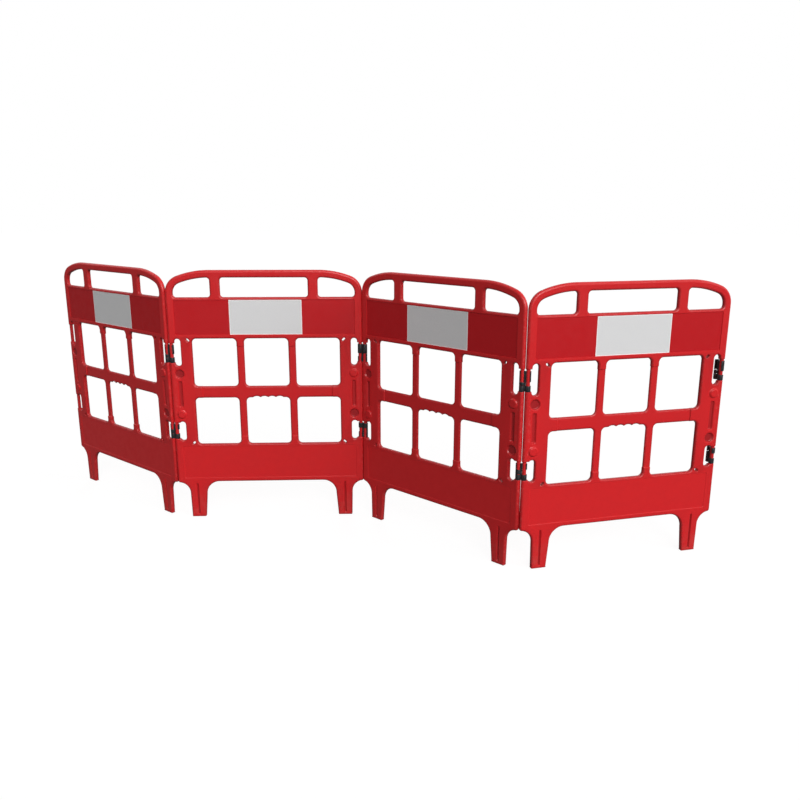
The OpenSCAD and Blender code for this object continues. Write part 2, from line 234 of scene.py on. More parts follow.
# right side of the gate below the arch, with the edge stepping in along the necks
def neckedSide():
    outer = neckAxis + gateShape["neckRadius"]
    points = []
    for low, high in gateShape["neckZones"]:
        points += [[edgeX, high], [outer, high], [outer, low], [edgeX, low]]
    return np.array(points + [[edgeX, heelZ]])


# lower edge of the right half: heel of the rim, leg, foot and board
def legLine():
    shape = gateShape
    footIn, footOut = shape["footSpan"]
    legIn, legOut = shape["legSpan"]
    heel, toe = shape["heelRound"], shape["toeRound"]
    inner, outer = shape["innerFillet"], shape["outerFillet"]
    leave, join = shape["filletTurn"]
    heelC = (edgeX - heel, heelZ)
    outerC = (legOut + outer, rimFoot - outer)
    innerC = (legIn - inner, shape["boardFoot"] - inner)
    return {
        "heel": np.vstack([
            arcPoints(heelC, heel, 0, -shape["heelTurn"]),
            arcPoints(outerC, outer, leave, join),
        ]),
        "outer": np.vstack([arcPoints(outerC, outer, join, 180), [[footOut, toe]]]),
        "toe": np.vstack([
            arcPoints((footOut - toe, toe), toe, 0, -90),
            arcPoints((footIn + toe, toe), toe, 270, 180),
        ]),
        "inner": np.vstack([
            [[footIn, toe]],
            arcPoints(innerC, inner, 0, 90),
            [[0, shape["boardFoot"]]],
        ]),
    }


# finger grip in the top edge of a window
def scalloped(loop, top):
    half = gateShape["scallopPitch"] / 2
    rise = gateShape["scallopRise"]
    radius = (half * half + rise * rise) / (2 * rise)
    swing = math.degrees(math.asin(half / radius))
    grip = []
    for i in range(gateShape["scallops"]):
        x = ((gateShape["scallops"] - 1) / 2 - i) * 2 * half
        grip.append(arcPoints((x, top + rise - radius), radius, 90 - swing, 90 + swing))
    isTop = np.abs(loop[:, 1] - top) < sameSpot
    start = int(np.flatnonzero(isTop)[0]) + 1
    return tidyLine(np.vstack([loop[:start], *grip, loop[start:]]), True)


def windowLoops():
    width, height = gateShape["windowSize"]
    pitch = width + gateShape["barWidth"]
    loops = []
    for low in gateShape["rows"]:
        for column in (-1, 0, 1):
            x = column * pitch
            loop = roundBox(x - width / 2, low, x + width / 2, low + height, gateShape["windowRound"])
            if column == 0 and low == min(gateShape["rows"]):
                loop = scalloped(loop, low + height)
            loops.append(loop)
    return loops


def handleLoops():
    shape = gateShape
    low = shape["handleLow"]
    high = gateTop - shape["rimFace"]
    radius = shape["handleRound"]
    inner = shape["handleHalf"] + shape["post"]
    outer = edgeX - shape["rimFace"]
    # the corner next to the post runs into the crown, or into the flat rail before it
    crownIn = shape["crownRadius"] - shape["rimFace"]
    past = max(inner + radius - crownC[0], 0)
    headZ = crownC[1] + math.sqrt((crownIn - radius) ** 2 - past ** 2)
    touch = math.degrees(math.atan2(headZ - crownC[1], past))
    side = tidyLine(np.vstack([
        arcPoints((inner + radius, low + radius), radius, 180, 270),
        arcPoints((outer - radius, low + radius), radius, 270, 360),
        arcPoints(cornerC, shape["cornerRadius"] - shape["rimFace"], 0, crownBend),
        arcPoints(crownC, crownIn, crownBend, touch),
        arcPoints((inner + radius, headZ), radius, touch, 180),
    ]), True)
    middle = roundBox(-shape["handleHalf"], low, shape["handleHalf"], high, radius)
    return [middle, side, flipped(side)]


# hinge slot, with the side of the neck set back between the rim's ends
def slotLoop(span, zone):
    x, half = gateShape["slotX"], gateShape["slotHalf"]
    chord = meshDetail["slotChord"]
    neck = neckAxis - gateShape["neckRadius"]
    footZ, headZ = span[0] + half, span[1] - half
    footEnd = 360 - math.degrees(math.asin(max(footZ - zone[0], 0) / half))
    headStart = math.degrees(math.asin(max(zone[1] - headZ, 0) / half))
    foot = arcPoints((x, footZ), half, 180, footEnd, chord)
    head = arcPoints((x, headZ), half, headStart, 180, chord)
    step = np.array([[foot[-1][0], zone[0]], [neck, zone[0]], [neck, zone[1]], [head[0][0], zone[1]]])
    return tidyLine(np.vstack([foot, step, head]), True)


# slanting hole for lashing
def tieLoop(z, tilt):
    length, width = gateShape["tieSize"]
    reach, radius = (length - width) / 2, width / 2
    chord = meshDetail["tieChord"]
    ends = [arcPoints((reach, 0), radius, -90, 90, chord), arcPoints((-reach, 0), radius, 90, 270, chord)]
    cosine, sine = math.cos(math.radians(tilt)), math.sin(math.radians(tilt))
    turned = np.vstack(ends) @ np.array([[cosine, sine], [-sine, cosine]])
    return tidyLine(turned + [gateShape["tieX"], z], True)


def segmentsOf(points, closed):
    rows = np.hstack([points, np.roll(points, -1, axis=0)])
    return rows if closed else rows[:-1]


def distanceTo(points, segments):
    start = segments[:, :2]
    span = segments[:, 2:] - start
    length = np.maximum(np.sum(span * span, axis=1), tiny)
    best = np.empty(len(points))
    for i in range(0, len(points), meshDetail["batch"]):
        some = slice(i, i + meshDetail["batch"])
        offset = points[some, None, :] - start[None]
        share = np.clip(np.sum(offset * span[None], axis=2) / length[None], 0, 1)
        gap = offset - share[:, :, None] * span[None]
        best[some] = np.sqrt(np.min(np.sum(gap * gap, axis=2), axis=1))
    best[best < onEdge] = 0
    return best


def isInside(points, segments):
    x0, z0, x1, z1 = segments.T
    inside = np.zeros(len(points), bool)
    for i in range(0, len(points), meshDetail["batch"]):
        some = slice(i, i + meshDetail["batch"])
        x, z = points[some, 0:1], points[some, 1:2]
        crosses = (z0[None] > z) != (z1[None] > z)
        with np.errstate(divide="ignore", invalid="ignore"):
            at = x0[None] + (z - z0[None]) * (x1 - x0)[None] / (z1 - z0)[None]
        inside[some] = np.sum(crosses & (x < at), axis=1) % 2 == 1
    return inside


def ramp(t):
    t = np.clip(t, 0, 1)
    return t * t * (3 - 2 * t)


# one at the peak, falling away on both sides of it
def swell(value, peak, spread):
    return np.exp(-np.square((value - peak) / spread))


# how far each point lies inside a box with round corners
def depthIn(points, spanX, spanZ, radius):
    centre = np.array([sum(spanX) / 2, sum(spanZ) / 2])
    half = np.array([(spanX[1] - spanX[0]) / 2 - radius, (spanZ[1] - spanZ[0]) / 2 - radius])
    past = np.abs(points - centre) - half
    outside = np.linalg.norm(np.maximum(past, 0), axis=1)
    return radius - outside - np.minimum(np.max(past, axis=1), 0)


# distance from the rim's axis, above zero on the rim's outer half, where there is no plate
def rimOffset(points):
    x, z = np.abs(points[:, 0]), points[:, 1]
    toCorner = np.column_stack([x, z]) - cornerC
    toCrown = np.column_stack([x, z]) - crownC
    corner = np.linalg.norm(toCorner, axis=1) - gateShape["cornerRadius"] + rimAxis
    crown = np.linalg.norm(toCrown, axis=1) - gateShape["crownRadius"] + rimAxis
    turn = np.arctan2(toCorner[:, 1], toCorner[:, 0])
    offset = np.where((turn >= 0) & (turn <= math.radians(crownBend)), corner, crown)
    offset = np.where(x < crownC[0], z - gateTop + rimAxis, offset)
    return np.where(z < cornerC[1], x - neckAxis, offset)


def inNeckZone(points):
    margin = gateShape["shoulder"] / 2
    hit = np.zeros(len(points), bool)
    for low, high in gateShape["neckZones"]:
        hit |= (points[:, 1] > low + margin) & (points[:, 1] < high - margin)
    return hit & (np.abs(points[:, 0]) > gateShape["slotX"])


# ends of the rim over and under the necks
def shoulderLines():
    start = gateShape["slotX"] + gateShape["slotHalf"]
    heights = [z for zone in gateShape["neckZones"] for z in zone]
    return np.array([[side * start, z, side * edgeX, z] for z in heights for side in (1, -1)])


def reliefSpans():
    for name, (spanX, *rest) in reliefShape.items():
        if name in pairedRelief:
            yield (-spanX[1], -spanX[0]), *rest
        yield spanX, *rest


def bossSpot(side, up):
    return np.array([side * bossShape["x"], bossShape["z"] + up * bossShape["pitch"] / 2])


def bossShare(points, spot, radius):
    away = np.linalg.norm(points - spot, axis=1)
    return ramp((radius + bossShape["lip"] - away) / bossShape["slope"])


# half thickness of the plate with its relief, and how much painted shade each point gets in a hollow
def reliefLevel(points):
    level = np.full(len(points), gateShape["plateHalf"])
    hollowShade = np.zeros(len(points))
    for spanX, spanZ, depth, slope, radius in reliefSpans():
        share = ramp(depthIn(points, spanX, spanZ, radius) / slope)
        level -= depth * share
        # painted shade fills the grooves deeper than grooveDepth, and below it the recesses
        if depth > paintedShadeLook["grooveDepth"]:
            hollowShade = np.maximum(hollowShade, paintedShadeLook["grooveShare"] * share)
    for side in (-1, 1):
        recess = bossShare(points, bossSpot(side, -side), bossShape["recessRadius"])
        level -= bossShape["recessDepth"] * recess
        hollowShade = np.maximum(hollowShade, recess)
        level += bossShape["height"] * bossShare(points, bossSpot(side, side), bossShape["radius"])
    return level, hollowShade


def withRoundEdges(points, level, groups):
    height = level.copy()
    for segments, width in groups:
        share = np.clip(distanceTo(points, segments) / width, 0, 1)
        drop = np.minimum(min(width, edgeDepth), level)
        sink = drop * (1 - np.sqrt(1 - np.square(1 - share)))
        height = np.minimum(height, level - sink)
    return height


# lays the round rim over the plate's border, from the heels up
def withRim(points, height):
    z = points[:, 1]
    offset = rimOffset(points)
    grown = ramp((z - heelZ) / gateShape["heelTaper"])
    radius = gateShape["plateHalf"] + (rimAxis - gateShape["plateHalf"]) * grown
    rim = np.sqrt(np.maximum(np.square(radius) - np.square(offset * radius / rimAxis), 0))
    height = np.where((offset > 0) & (z > heelZ), 0, height)
    return np.where(z >= heelZ, np.maximum(height, rim), height)


# rounds off the rim's ends and sets the thinner necks between them
def withNecks(points, height):
    gap = distanceTo(points, shoulderLines())
    radius = np.minimum(edgeRound["shoulder"], height)
    left = np.square(radius) - np.square(radius - np.minimum(gap, radius))
    height = height - radius + np.sqrt(np.maximum(left, 0))
    offset = np.abs(points[:, 0]) - neckAxis
    neck = np.sqrt(np.maximum(gateShape["neckRadius"] ** 2 - np.square(offset), 0))
    return np.where(inNeckZone(points), neck, height)


# half thickness of the gate at each point, seen from the front, with the painted shade of its hollows
def faceHeight(points, groups):
    level, hollowShade = reliefLevel(points)
    height = withNecks(points, withRim(points, withRoundEdges(points, level, groups)))
    height[height < meshDetail["pinch"]] = 0
    return height, hollowShade


# the gate's outline, and its other edges by the way they are rounded
def gateEdges():
    shape = gateShape
    leg = legLine()
    bottom = np.vstack(list(leg.values()))
    bottom = tidyLine(np.vstack([bottom, flipped(bottom)]), False)
    side = neckedSide()
    arch = archLine(0, shape["neckZones"][0][1])
    outer = tidyLine(np.vstack([arch, side[1:-1], bottom, flipped(side)[1:]]), True)
    closedEdges = {
        "opening": windowLoops() + handleLoops(),
        "slot": bothSides([slotLoop(*spans) for spans in zip(shape["slots"], shape["neckZones"])]),
        "tie": bothSides([tieLoop(*hole) for hole in zip(shape["tieZ"], shape["tieTilt"])]),
    }
    heelTop = np.array([[edgeX, heelZ + shape["heelTaper"]], [edgeX, heelZ]])
    openEdges = {
        "heel": [leg["heel"], heelTop],
        "leg": [leg["outer"], leg["inner"]],
        "toe": [leg["toe"]],
    }
    return outer, bottom, closedEdges, openEdges


# true for the sides of the necks, which are round already
def onNeck(rows):
    x = np.abs(rows[:, [0, 2]])
    return np.all(np.abs(x - neckAxis + gateShape["neckRadius"]) < sameSpot, axis=1)


# each kind of edge as short segments, with the width of its rounding
def edgeGroups(closedEdges, openEdges):
    groups = []
    for kind, loops in closedEdges.items():
        rows = np.vstack([segmentsOf(loop, True) for loop in loops])
        groups.append((rows[~onNeck(rows)], edgeRound[kind]))
    for kind, lines in openEdges.items():
        rows = [segmentsOf(tidyLine(line, False), False) for line in bothSides(lines)]
        groups.append((np.vstack(rows), edgeRound[kind]))
    return groups


# every line that the faces are meshed along, and whether it is closed
def meshLines(bottom, closedEdges):
    shares = roundShares(meshDetail["edgeSteps"])
    lines = []
    for kind, loops in closedEdges.items():
        for loop in loops:
            lines += [(movedLine(loop, share * edgeRound[kind], True), True) for share in shares]
    lines += [(movedLine(bottom, share * edgeRound["leg"], False), False) for share in shares]
    return lines + rimLines() + neckLines() + reliefLines()


def rimLines():
    lines = []
    insets = [rimAxis * (1 - math.cos(math.radians(angle))) for angle in meshDetail["rimAngles"]]
    insets += [rimAxis + past for past in meshDetail["rimPast"]]
    (upLow, upHigh), (downLow, downHigh) = gateShape["neckZones"]
    for inset in insets:
        lines.append((archLine(inset, upHigh), False))
        x = edgeX - inset
        for start, end in ((upLow, downHigh), (downLow, heelZ)):
            lines += [straight(side * x, start, side * x, end) for side in (1, -1)]
    return lines


def neckLines():
    lines = []
    lip, reach = gateShape["shoulder"], gateShape["neckRadius"]
    step = meshDetail["neckStep"]
    for low, high in gateShape["neckZones"]:
        for side in (1, -1):
            for angle in range(step, 180, step):
                x = side * (neckAxis + reach * math.cos(math.radians(angle)))
                lines.append(straight(x, low + lip, x, high - lip))
            for z in (low, low + lip, high - lip, high):
                lines.append(straight(side * (neckAxis - reach), z, side * (neckAxis + reach), z))
            for share in roundShares(meshDetail["shoulderSteps"]):
                cut = share * edgeRound["shoulder"]
                for z in (low - cut, high + cut):
                    lines.append(straight(side * gateShape["slotX"], z, side * edgeX, z))
    return lines


def reliefLines():
    lines = []
    for spanX, spanZ, _, slope, radius in reliefSpans():
        for share in meshDetail["slopeShares"]:
            cut = share * slope
            box = (spanX[0] + cut, spanZ[0] + cut, spanX[1] - cut, spanZ[1] - cut)
            lines.append((roundBox(*box, max(radius - cut, meshDetail["leastRound"])), True))
    rings = [bossShape[name] + bossShape["lip"] - share * bossShape["slope"]
             for name in ("radius", "recessRadius") for share in meshDetail["slopeShares"]]
    for side in (-1, 1):
        for up in (-1, 1):
            spot = bossSpot(side, up)
            lines += [(arcPoints(spot, ring, 0, 360, meshDetail["bossChord"])[:-1], True) for ring in rings]
    return lines


# flat mesh of the outline, cut along all the lines
def outlineMesh(loops, lines):
    points, edges = [], []
    for line, closed in [(loop, True) for loop in loops] + lines:
        first = len(points)
        points += [Vector((float(x), float(z))) for x, z in line]
        edges += [(i, i + 1) for i in range(first, len(points) - 1)]
        if closed:
            edges.append((len(points) - 1, first))
    flat = delaunay_2d_cdt(points, edges, [], 0, sameSpot)
    spots = np.array([tuple(spot) for spot in flat[0]], float)
    faces = np.array([tuple(face) for face in flat[2]], int)
    borders = np.vstack([segmentsOf(loop, True) for loop in loops])
    kept = faces[isInside(spots[faces].mean(axis=1), borders)]
    used = np.unique(kept)
    renumber = np.full(len(spots), -1)
    renumber[used] = np.arange(len(used))
    return spots[used], renumber[kept]


# turns every face the same way round
def facedFront(spots, faces):
    one = spots[faces[:, 1]] - spots[faces[:, 0]]
    two = spots[faces[:, 2]] - spots[faces[:, 0]]
    area = one[:, 0] * two[:, 1] - one[:, 1] * two[:, 0]
    return np.where((area > 0)[:, None], faces, faces[:, ::-1])


# joins the borders of the two faces, inside the openings and round the outside
def wallFaces(faces, backIndex):
    sides = np.vstack([faces[:, [0, 1]], faces[:, [1, 2]], faces[:, [2, 0]]]).tolist()
    seen = {(i, j) for i, j in sides}
    walls = []
    for i, j in sides:
        if (j, i) not in seen:
            wall = tuple(dict.fromkeys((j, i, int(backIndex[i]), int(backIndex[j]))))
            if len(wall) > 2:
                walls.append(wall)
    return walls


def edgeWear(spots, groups):
    wear = np.zeros(len(spots))
    for segments, width in groups:
        wear = np.maximum(wear, swell(distanceTo(spots, segments) / width, *gateWear["edge"]))
    rim = np.abs(rimOffset(spots)) / rimAxis
    return np.maximum(wear, swell(rim, *gateWear["rim"]) * (rim < gateWear["rimEnd"]))


# painted shade, strongest at every rounded edge and falling away over edgeReach
def edgeShade(spots, groups):
    gap = np.min([distanceTo(spots, segments) for segments, _ in groups], axis=0)
    return swell(gap, 0, paintedShadeLook["edgeReach"])


# the two faces of the plate and the walls of its openings
def gateMesh():
    outer, bottom, closedEdges, openEdges = gateEdges()
    groups = edgeGroups(closedEdges, openEdges)
    loops = sum(closedEdges.values(), [outer])
    spots, faces = outlineMesh(loops, meshLines(bottom, closedEdges))
    faces = facedFront(spots, faces)
    front, frontHollowShade = faceHeight(spots, groups)
    back, backHollowShade = faceHeight(spots * [-1, 1], groups)
    # where both faces come down to the middle plane they share their points
    apart = np.flatnonzero((front > 0) | (back > 0))
    backIndex = np.arange(len(spots))
    backIndex[apart] = len(spots) + np.arange(len(apart))
    polygons = [tuple(face) for face in faces]
    polygons += [tuple(face[::-1]) for face in backIndex[faces]]
    polygons += wallFaces(faces, backIndex)
    points = np.vstack([
        np.column_stack([spots[:, 0], -front, spots[:, 1]]),
        np.column_stack([spots[:, 0], back, spots[:, 1]])[apart],
    ])
    mesh = bpy.data.meshes.new("gateShell")
    mesh.from_pydata((points * mm).tolist(), [], polygons)
    wear, paintedShade = edgeWear(spots, groups), edgeShade(spots, groups)
    # masks: rubbing at the edges, painted shade in the hollows and painted shade along the edges
    masks = {"edgeMask": (wear, wear), "hollowMask": (frontHollowShade, backHollowShade), "grimeMask": (paintedShade, paintedShade)}
    for name, (frontMask, backMask) in masks.items():
        values = np.append(frontMask, backMask[apart]).astype(np.float32)
        mesh.attributes.new(name, "FLOAT", "POINT").data.foreach_set("value", values)
    mesh.shade_smooth()
    mesh.update()
    return mesh


def newObject(name, mesh, place):
    piece = bpy.data.objects.new(name, mesh)
    bpy.context.scene.collection.objects.link(piece)
    piece.matrix_world = place
    return piece


shell = gateMesh()
print(f"gate shell: {len(shell.vertices)} points, {len(shell.polygons)} faces")

# reflective sheets on the floor of the bands, in the gate's own frame
sheetShape = {
    "thickness": 0.5,
    "margin": 1.0,             # between a sheet and the border of its band
    "whiteHalf": 140.0,
    "gap": 1.0,                # between the white sheet and a red one
    "shifts": (0.0, 3.0, 2.0, 9.0),    # the white sheets are not all in the middle
    "cornerRound": 1.5,
    "edgeRound": 0.12,
}
(_, bandReach), (bandLow, bandHigh), bandDepth, _, _ = reliefShape["band"]
sheetReach = bandReach - sheetShape["margin"]
sheetLow = bandLow + sheetShape["margin"]
sheetHigh = bandHigh - sheetShape["margin"]


def sheetMesh(name, spans):
    points, polygons = [], []
    back = gateShape["plateHalf"] - bandDepth
    front = back + sheetShape["thickness"]
    soft = sheetShape["edgeRound"]
    levels = [(0, back), (0, front - soft), (soft, front)]
    for x0, x1 in spans:
        first = len(points)
        for cut, depth in levels:
            radius = sheetShape["cornerRound"] - cut
            ring = roundBox(x0 + cut, sheetLow + cut, x1 - cut, sheetHigh - cut, radius)
            points += [(x * mm, -depth * mm, z * mm) for x, z in ring]
        count = len(ring)
        top = len(levels) - 1
        for level in range(top):
            a, b = first + level * count, first + (level + 1) * count
            polygons += [(a + i, a + (i + 1) % count, b + (i + 1) % count, b + i) for i in range(count)]
        polygons.append(tuple(first + top * count + i for i in range(count)))
        polygons.append(tuple(first + i for i in reversed(range(count))))
    mesh = bpy.data.meshes.new(name)
    mesh.from_pydata(points, [], polygons)
    mesh.update()
    return mesh


# small helpers for the materials
def addNode(tree, kind, **values):
    node = tree.nodes.new(kind)
    for name, value in values.items():
        setattr(node, name, value)
    return node


def feed(tree, socket, value):
    if isinstance(value, bpy.types.NodeSocket):
        tree.links.new(value, socket)
    else:
        socket.default_value = value


def calc(tree, operation, *values, clamp=False):
    node = addNode(tree, "ShaderNodeMath", operation=operation, use_clamp=clamp)
    for socket, value in zip(node.inputs, values):
        feed(tree, socket, value)
    return node.outputs[0]


def ease(tree, value, low, high, start=0.0, end=1.0):
    node = addNode(tree, "ShaderNodeMapRange", interpolation_type="SMOOTHSTEP")
    labels = ("Value", "From Min", "From Max", "To Min", "To Max")
    for label, number in zip(labels, (value, low, high, start, end)):
        feed(tree, node.inputs[label], number)
    return node.outputs["Result"]


def noise(tree, place, scale, detail, roughness):
    node = addNode(tree, "ShaderNodeTexNoise")
    for label, value in (("Vector", place), ("Scale", scale), ("Detail", detail), ("Roughness", roughness)):
        feed(tree, node.inputs[label], value)
    return node.outputs["Fac"]


# the Mix node keeps sockets for every type: the share, the two that are mixed, and the result
mixSockets = {"RGBA": ((0, 6, 7), 2), "FLOAT": ((0, 2, 3), 0)}


def mixed(tree, kind, *values):
    node = addNode(tree, "ShaderNodeMix", data_type=kind)
    sockets, result = mixSockets[kind]
    for socket, value in zip(sockets, values):
        feed(tree, node.inputs[socket], value)
    return node.outputs[result]


def mixColour(tree, share, first, second):
    return mixed(tree, "RGBA", share, first, second)


def mixValue(tree, share, first, second):
    return mixed(tree, "FLOAT", share, first, second)


def mixShader(tree, share, first, second):
    node = addNode(tree, "ShaderNodeMixShader")
    for socket, value in zip(node.inputs, (share, first, second)):
        feed(tree, socket, value)
    return node.outputs[0]


def plainShader(tree, kind, **values):
    node = addNode(tree, kind)
    for label, value in values.items():
        node.inputs[label].default_value = value
    return node.outputs[0]


def axesOf(tree, source):
    split = addNode(tree, "ShaderNodeSeparateXYZ")
    tree.links.new(addNode(tree, "ShaderNodeTexCoord").outputs[source], split.inputs[0])
    return split.outputs


def maskOf(tree, name):
    return addNode(tree, "ShaderNodeAttribute", attribute_name=name).outputs["Fac"]


def newGroup(name, inputs, outputs):
    tree = bpy.data.node_groups.new(name, "ShaderNodeTree")
    for label, value in inputs.items():
        socket = tree.interface.new_socket(name=label, in_out="INPUT", socket_type="NodeSocketFloat")
        socket.default_value = value
    for label in outputs:
        tree.interface.new_socket(name=label, in_out="OUTPUT", socket_type="NodeSocketFloat")
    return tree, tree.nodes.new("NodeGroupInput").outputs, tree.nodes.new("NodeGroupOutput").inputs


def useGroup(tree, group, **values):
    node = addNode(tree, "ShaderNodeGroup", node_tree=group)
    for name, value in values.items():
        feed(tree, node.inputs[name], value)
    return node.outputs


# place on the piece, moved by its own amount so that no two pieces share a pattern
def piecePlace(tree, spread=7.0):
    place = addNode(tree, "ShaderNodeTexCoord").outputs["Object"]
    info = addNode(tree, "ShaderNodeObjectInfo")
    shift = addNode(tree, "ShaderNodeVectorMath", operation="ADD")
    tree.links.new(place, shift.inputs[0])
    tree.links.new(calc(tree, "MULTIPLY", info.outputs["Random"], spread), shift.inputs[1])
    return shift.outputs[0]


# fine moulded skin over slow waves, and a cloudy tone; each noise has its detail and roughness
grainLook = {"fine": (2.0, 0.6), "fineShare": 0.12, "wave": (1.0, 0.4),
             "cloud": (5.0, 0.62), "cloudScale": 2.7, "cloudSpan": (0.3, 0.7)}


def mouldGrainGroup():
    look = grainLook
    inputs = {"grainScale": 900.0, "waveScale": 9.0}
    tree, entry, out = newGroup("mouldGrain", inputs, ("height", "tone"))
    place = piecePlace(tree)
    fine = noise(tree, place, entry["grainScale"], *look["fine"])
    wave = noise(tree, place, entry["waveScale"], *look["wave"])
    cloudScale = calc(tree, "MULTIPLY", entry["waveScale"], look["cloudScale"])
    cloud = noise(tree, place, cloudScale, *look["cloud"])
    height = calc(tree, "ADD", calc(tree, "MULTIPLY", fine, look["fineShare"]), wave)
    tree.links.new(height, out["height"])
    tree.links.new(ease(tree, cloud, *look["cloudSpan"]), out["tone"])
    return tree


# patchy rubbing where a mask is strong
scuffLook = {"patch": (6.0, 0.7), "patchSpan": (0.48, 0.66)}


def edgeScuffGroup():
    inputs = {"mask": 0.0, "scale": 60.0, "amount": 0.5}
    tree, entry, out = newGroup("edgeScuff", inputs, ("scuff",))
    patch = noise(tree, piecePlace(tree), entry["scale"], *scuffLook["patch"])
    worn = calc(tree, "MULTIPLY", ease(tree, patch, *scuffLook["patchSpan"]), entry["mask"])
    tree.links.new(calc(tree, "MULTIPLY", worn, entry["amount"], clamp=True), out["scuff"])
    return tree


# dust that settles near the ground
dustLook = {"cloud": (5.0, 0.65), "cloudScale": 45.0, "cloudSpan": (0.35, 0.7)}


def groundDustGroup():
    tree, entry, out = newGroup("groundDust", {"reach": 0.12, "amount": 0.3}, ("dust",))
    low = ease(tree, axesOf(tree, "Object")["Z"], 0.0, entry["reach"], 1.0, 0.0)
    cloud = noise(tree, piecePlace(tree), dustLook["cloudScale"], *dustLook["cloud"])
    patchy = calc(tree, "MULTIPLY", low, ease(tree, cloud, *dustLook["cloudSpan"]))
    tree.links.new(calc(tree, "MULTIPLY", patchy, entry["amount"], clamp=True), out["dust"])
    return tree


# sealed cells of the reflective sheet, as crossing slanted lines with a plain core
cellLook = {"slant": 0.58, "core": 0.4}


def sheetCellsGroup():
    tree, entry, out = newGroup("sheetCells", {"pitch": 0.0036, "lineShare": 0.1}, ("line", "cell"))
    axes = axesOf(tree, "Object")
    core = calc(tree, "MULTIPLY", entry["lineShare"], cellLook["core"])
    pair = addNode(tree, "ShaderNodeCombineXYZ")
    lines = []
    for axis, operation in enumerate(("ADD", "SUBTRACT")):
        rise = calc(tree, "MULTIPLY", axes["Z"], cellLook["slant"])
        turn = calc(tree, "DIVIDE", calc(tree, operation, axes["X"], rise), entry["pitch"])
        away = calc(tree, "PINGPONG", turn, 0.5)
        lines.append(ease(tree, away, core, entry["lineShare"], 1.0, 0.0))
        tree.links.new(calc(tree, "FLOOR", turn), pair.inputs[axis])
    cell = addNode(tree, "ShaderNodeTexWhiteNoise", noise_dimensions="2D")
    tree.links.new(pair.outputs[0], cell.inputs["Vector"])
    tree.links.new(calc(tree, "MAXIMUM", *lines), out["line"])
    tree.links.new(cell.outputs["Value"], out["cell"])
    return tree


mouldGrain = mouldGrainGroup()
edgeScuff = edgeScuffGroup()
groundDust = groundDustGroup()
sheetCells = sheetCellsGroup()


def newMaterial(name, ior):
    material = bpy.data.materials.new(name)
    material.use_nodes = True
    shader = material.node_tree.nodes["Principled BSDF"]
    shader.inputs["IOR"].default_value = ior
    return material, material.node_tree, shader.inputs


def addBump(tree, shader, height, strength, distance):
    bump = addNode(tree, "ShaderNodeBump")
    bump.inputs["Strength"].default_value = strength
    bump.inputs["Distance"].default_value = distance
    tree.links.new(height, bump.inputs["Height"])
    tree.links.new(bump.outputs["Normal"], shader["Normal"])


gateFinish = {
    "red": (0.645, 0.0160, 0.0190, 1),
    "deepRed": (0.62, 0.0145, 0.0175, 1),
    "rubbed": (0.72, 0.17, 0.15, 1),
    "dust": (0.42, 0.16, 0.13, 1),
    # dark red painted as shade in the hollows and along the edges
    "paintedShade": (0.30, 0.010, 0.013, 1),
    "paintedShadeShare": {"hollowMask": 0.85, "grimeMask": 0.45},
    "ior": 1.5,
    "roughness": (0.30, 0.40),
    "wornRoughness": 0.3,      # added where it is rubbed or dusty
    "grain": {"grainScale": 1100.0, "waveScale": 11.0},
    "scuff": {"scale": 85.0, "amount": 0.3},
    "settled": {"reach": 0.14, "amount": 0.2},
    "seam": (0.00018, 0.0006),         # the moulding seam round every edge: half its top, half its foot
    "seamRise": 0.25,
    "bump": (0.5, 0.0012),     # strength and distance
}


def gatePlastic():
    look = gateFinish
    material, tree, shader = newMaterial("gatePlastic", look["ior"])
    grain = useGroup(tree, mouldGrain, **look["grain"])
    scuff = useGroup(tree, edgeScuff, mask=maskOf(tree, "edgeMask"), **look["scuff"])["scuff"]
    dust = useGroup(tree, groundDust, **look["settled"])["dust"]
    colour = mixColour(tree, grain["tone"], look["red"], look["deepRed"])
    colour = mixColour(tree, scuff, colour, look["rubbed"])
    colour = mixColour(tree, dust, colour, look["dust"])
    # painted shade: the hollows and the edges darken towards that dark red
    for name, share in look["paintedShadeShare"].items():
        shaded = calc(tree, "MULTIPLY", maskOf(tree, name), share)
        colour = mixColour(tree, shaded, colour, look["paintedShade"])
    tree.links.new(colour, shader["Base Color"])
    gloss = ease(tree, grain["tone"], 0.0, 1.0, *look["roughness"])
    worn = calc(tree, "MULTIPLY", calc(tree, "MAXIMUM", scuff, dust), look["wornRoughness"])
    tree.links.new(calc(tree, "ADD", gloss, worn), shader["Roughness"])
    off = calc(tree, "ABSOLUTE", axesOf(tree, "Object")["Y"])
    seam = calc(tree, "MULTIPLY", ease(tree, off, *look["seam"], 1.0, 0.0), look["seamRise"])
    addBump(tree, shader, calc(tree, "ADD", grain["height"], seam), *look["bump"])
    return material


# the colours of a sheet are its light cells, its dark cells and the lines between them
sheetFinish = {
    "white": ((0.74, 0.74, 0.74, 1), (0.71, 0.71, 0.715, 1), (0.63, 0.63, 0.635, 1)),
    "red": ((0.54, 0.0072, 0.0118, 1), (0.51, 0.0064, 0.0108, 1), (0.435, 0.0054, 0.0090, 1)),
    "whiteBorder": (0.90, 0.89, 0.885, 1),
    "border": (0.00256, 0.0032),       # where the sealed margin starts to fade, and its width
    "ior": 1.45,
    "roughness": (0.34, 0.46),
    "cells": {"pitch": 0.0036, "lineShare": 0.11},
    "grain": {"grainScale": 700.0, "waveScale": 14.0},
    "cloudShare": 0.35,
    "grainRise": 0.4,
    "bump": (0.25, 0.0002),
}


# sealed margin of the white sheet, which is centred on its own frame
def whiteMargin(tree):
    axes = axesOf(tree, "Object")
    middle, half = (sheetLow + sheetHigh) / 2 * mm, (sheetHigh - sheetLow) / 2 * mm
    across = calc(tree, "SUBTRACT", sheetShape["whiteHalf"] * mm, calc(tree, "ABSOLUTE", axes["X"]))
    up = calc(tree, "ABSOLUTE", calc(tree, "SUBTRACT", axes["Z"], middle))
    inside = calc(tree, "MINIMUM", across, calc(tree, "SUBTRACT", half, up))
    return ease(tree, inside, *sheetFinish["border"], 1.0, 0.0)


